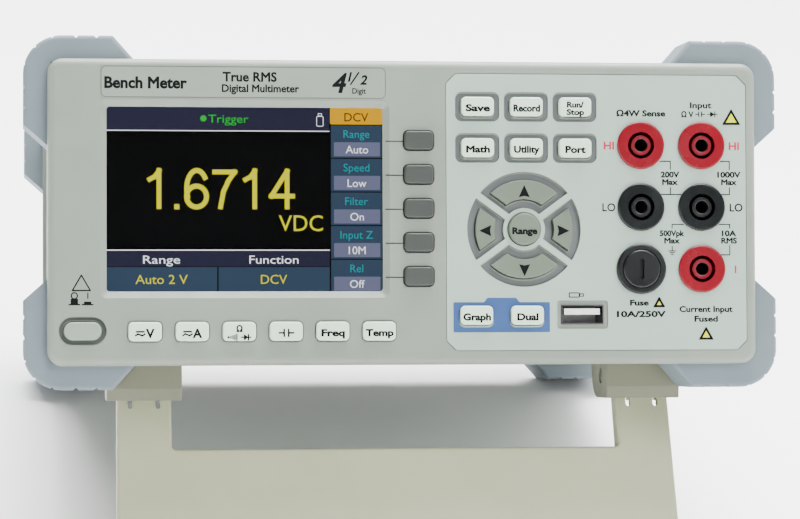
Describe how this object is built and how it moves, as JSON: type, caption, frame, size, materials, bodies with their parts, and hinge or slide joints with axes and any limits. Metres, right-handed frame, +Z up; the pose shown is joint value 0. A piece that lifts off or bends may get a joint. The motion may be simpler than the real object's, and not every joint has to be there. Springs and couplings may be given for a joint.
{
  "type": "bench digital multimeter",
  "caption": "Bench multimeter standing on a wide folding tilt stand: bright screen, labelled keys, arrow pad and shrouded test jacks on a bumpered case.",
  "frame": {"origin": "middle of the footprint, on the surface that the opened meter stands on", "axes": "+Z up; -Y towards the user, where the panel faces, leaned back by its stand; +X to the user's right"},
  "size_m": [0.2328, 0.3308, 0.1844],
  "materials": {
    "bezel_plastic": "fine moulded texture",
    "overlay_film": "satin printed film",
    "clear_window": "clear acrylic",
    "display_frame": "tinned steel frame round dark glass",
    "key_plastic": "smooth satin",
    "soft_key_plastic": "smooth satin",
    "arrow_key_plastic": "smooth satin",
    "rubber_grey": "matt moulded rubber",
    "silicone": "translucent silicone",
    "cover_paint": "fine powder coat",
    "stand_plastic": "fine moulded texture",
    "rear_plastic": "fine moulded texture",
    "jack_red": "glossy moulded",
    "jack_black": "glossy moulded",
    "contact_metal": "nickel plated",
    "steel": "plain steel",
    "socket_metal": "nickel plated shell",
    "black_plastic": "satin",
    "white_plastic": "satin",
    "circuit_board": "solder mask",
    "transformer_iron": "varnished laminations",
    "fuse_glass": "clear tube with metal caps",
    "selector_red": "glossy moulded"
  },
  "bodies": {
    "case": {"front_bezel": "bezel_plastic", "terminal_overlay": "overlay_film", "display_window": "clear_window", "lcd_module": "display_frame", "keypad_mat": "silicone", "key_board": "circuit_board", "power_switch": "black_plastic", "red_jacks": "jack_red", "black_jacks": "jack_black", "jack_contacts": "contact_metal", "fuse_holder": "black_plastic", "usb_socket": "socket_metal", "usb_tongue": "white_plastic", "top_cover": "cover_paint", "bottom_cover": "cover_paint", "rear_panel": "rear_plastic", "front_bumpers": "rubber_grey", "rear_bumpers": "rubber_grey", "hinge_brackets": "stand_plastic", "stand_pins": "steel", "main_board": "circuit_board", "transformer": "transformer_iron", "shield_can": "steel", "ac_inlet": "black_plastic", "data_sockets": "socket_metal", "serial_socket": "socket_metal", "trigger_connectors": "socket_metal", "case_screws": "steel"},
    "stand": {"tilt_stand": "stand_plastic"},
    "fuse_carrier": {"fuse_carrier": "black_plastic", "fuse_link": "fuse_glass"},
    "fuse_cap": {"fuse_cap": "black_plastic"},
    "mains_fuse_drawer": {"mains_fuse_drawer": "black_plastic"},
    "voltage_selector": {"voltage_selector": "selector_red"},
    "power_button": {"power_button": "key_plastic"},
    "save_key": {"save_key": "key_plastic"},
    "record_key": {"record_key": "key_plastic"},
    "run_stop_key": {"run_stop_key": "key_plastic"},
    "math_key": {"math_key": "key_plastic"},
    "utility_key": {"utility_key": "key_plastic"},
    "port_key": {"port_key": "key_plastic"},
    "graph_key": {"graph_key": "key_plastic"},
    "dual_key": {"dual_key": "key_plastic"},
    "volts_key": {"volts_key": "key_plastic"},
    "amps_key": {"amps_key": "key_plastic"},
    "ohms_key": {"ohms_key": "key_plastic"},
    "capacitance_key": {"capacitance_key": "key_plastic"},
    "frequency_key": {"frequency_key": "key_plastic"},
    "temperature_key": {"temperature_key": "key_plastic"},
    "soft_key_1": {"soft_key_1": "soft_key_plastic"},
    "soft_key_2": {"soft_key_2": "soft_key_plastic"},
    "soft_key_3": {"soft_key_3": "soft_key_plastic"},
    "soft_key_4": {"soft_key_4": "soft_key_plastic"},
    "soft_key_5": {"soft_key_5": "soft_key_plastic"},
    "up_key": {"up_key": "arrow_key_plastic"},
    "down_key": {"down_key": "arrow_key_plastic"},
    "left_key": {"left_key": "arrow_key_plastic"},
    "right_key": {"right_key": "arrow_key_plastic"},
    "range_key": {"range_key": "arrow_key_plastic"}
  },
  "joints": [
    {"name": "stand_hinge", "type": "hinge", "parent": "case", "child": "stand", "pos_m": [0, -0.10632, 0.07467], "axis": [1, 0, 0], "range_deg": [0, 110]},
    {"name": "fuse_carrier_slide", "type": "slide", "parent": "case", "child": "fuse_carrier", "axis": [0, -0.9588, 0.284], "range_m": [0, 0.036]},
    {"name": "fuse_cap_turn", "type": "hinge", "parent": "fuse_carrier", "child": "fuse_cap", "pos_m": [0.07268, -0.13446, 0.11765], "axis": [0, -0.9588, 0.284], "range_deg": [0, 90]},
    {"name": "power_button_press", "type": "slide", "parent": "case", "child": "power_button", "axis": [0, -0.9588, 0.284], "range_m": [0, 0.0028]},
    {"name": "mains_fuse_drawer_slide", "type": "slide", "parent": "case", "child": "mains_fuse_drawer", "axis": [0, 0.9588, -0.284], "range_m": [0, 0.02]},
    {"name": "voltage_selector_slide", "type": "slide", "parent": "case", "child": "voltage_selector", "axis": [1, 0, 0], "range_m": [0, 0.005]},
    {"name": "save_key_press", "type": "slide", "parent": "case", "child": "save_key", "axis": [0, 0.9588, -0.284], "range_m": [0, 0.0009], "stiffness_N_per_m": 300, "springref_m": -0.001},
    {"name": "record_key_press", "type": "slide", "parent": "case", "child": "record_key", "axis": [0, 0.9588, -0.284], "range_m": [0, 0.0009], "stiffness_N_per_m": 300, "springref_m": -0.001},
    {"name": "run_stop_key_press", "type": "slide", "parent": "case", "child": "run_stop_key", "axis": [0, 0.9588, -0.284], "range_m": [0, 0.0009], "stiffness_N_per_m": 300, "springref_m": -0.001},
    {"name": "math_key_press", "type": "slide", "parent": "case", "child": "math_key", "axis": [0, 0.9588, -0.284], "range_m": [0, 0.0009], "stiffness_N_per_m": 300, "springref_m": -0.001},
    {"name": "utility_key_press", "type": "slide", "parent": "case", "child": "utility_key", "axis": [0, 0.9588, -0.284], "range_m": [0, 0.0009], "stiffness_N_per_m": 300, "springref_m": -0.001},
    {"name": "port_key_press", "type": "slide", "parent": "case", "child": "port_key", "axis": [0, 0.9588, -0.284], "range_m": [0, 0.0009], "stiffness_N_per_m": 300, "springref_m": -0.001},
    {"name": "graph_key_press", "type": "slide", "parent": "case", "child": "graph_key", "axis": [0, 0.9588, -0.284], "range_m": [0, 0.0009], "stiffness_N_per_m": 300, "springref_m": -0.001},
    {"name": "dual_key_press", "type": "slide", "parent": "case", "child": "dual_key", "axis": [0, 0.9588, -0.284], "range_m": [0, 0.0009], "stiffness_N_per_m": 300, "springref_m": -0.001},
    {"name": "volts_key_press", "type": "slide", "parent": "case", "child": "volts_key", "axis": [0, 0.9588, -0.284], "range_m": [0, 0.0009], "stiffness_N_per_m": 300, "springref_m": -0.001},
    {"name": "amps_key_press", "type": "slide", "parent": "case", "child": "amps_key", "axis": [0, 0.9588, -0.284], "range_m": [0, 0.0009], "stiffness_N_per_m": 300, "springref_m": -0.001},
    {"name": "ohms_key_press", "type": "slide", "parent": "case", "child": "ohms_key", "axis": [0, 0.9588, -0.284], "range_m": [0, 0.0009], "stiffness_N_per_m": 300, "springref_m": -0.001},
    {"name": "capacitance_key_press", "type": "slide", "parent": "case", "child": "capacitance_key", "axis": [0, 0.9588, -0.284], "range_m": [0, 0.0009], "stiffness_N_per_m": 300, "springref_m": -0.001},
    {"name": "frequency_key_press", "type": "slide", "parent": "case", "child": "frequency_key", "axis": [0, 0.9588, -0.284], "range_m": [0, 0.0009], "stiffness_N_per_m": 300, "springref_m": -0.001},
    {"name": "temperature_key_press", "type": "slide", "parent": "case", "child": "temperature_key", "axis": [0, 0.9588, -0.284], "range_m": [0, 0.0009], "stiffness_N_per_m": 300, "springref_m": -0.001},
    {"name": "soft_key_1_press", "type": "slide", "parent": "case", "child": "soft_key_1", "axis": [0, 0.9588, -0.284], "range_m": [0, 0.0009], "stiffness_N_per_m": 300, "springref_m": -0.001},
    {"name": "soft_key_2_press", "type": "slide", "parent": "case", "child": "soft_key_2", "axis": [0, 0.9588, -0.284], "range_m": [0, 0.0009], "stiffness_N_per_m": 300, "springref_m": -0.001},
    {"name": "soft_key_3_press", "type": "slide", "parent": "case", "child": "soft_key_3", "axis": [0, 0.9588, -0.284], "range_m": [0, 0.0009], "stiffness_N_per_m": 300, "springref_m": -0.001},
    {"name": "soft_key_4_press", "type": "slide", "parent": "case", "child": "soft_key_4", "axis": [0, 0.9588, -0.284], "range_m": [0, 0.0009], "stiffness_N_per_m": 300, "springref_m": -0.001},
    {"name": "soft_key_5_press", "type": "slide", "parent": "case", "child": "soft_key_5", "axis": [0, 0.9588, -0.284], "range_m": [0, 0.0009], "stiffness_N_per_m": 300, "springref_m": -0.001},
    {"name": "up_key_press", "type": "slide", "parent": "case", "child": "up_key", "axis": [0, 0.9588, -0.284], "range_m": [0, 0.0009], "stiffness_N_per_m": 300, "springref_m": -0.001},
    {"name": "down_key_press", "type": "slide", "parent": "case", "child": "down_key", "axis": [0, 0.9588, -0.284], "range_m": [0, 0.0009], "stiffness_N_per_m": 300, "springref_m": -0.001},
    {"name": "left_key_press", "type": "slide", "parent": "case", "child": "left_key", "axis": [0, 0.9588, -0.284], "range_m": [0, 0.0009], "stiffness_N_per_m": 300, "springref_m": -0.001},
    {"name": "right_key_press", "type": "slide", "parent": "case", "child": "right_key", "axis": [0, 0.9588, -0.284], "range_m": [0, 0.0009], "stiffness_N_per_m": 300, "springref_m": -0.001},
    {"name": "range_key_press", "type": "slide", "parent": "case", "child": "range_key", "axis": [0, 0.9588, -0.284], "range_m": [0, 0.0009], "stiffness_N_per_m": 300, "springref_m": -0.001}
  ]
}
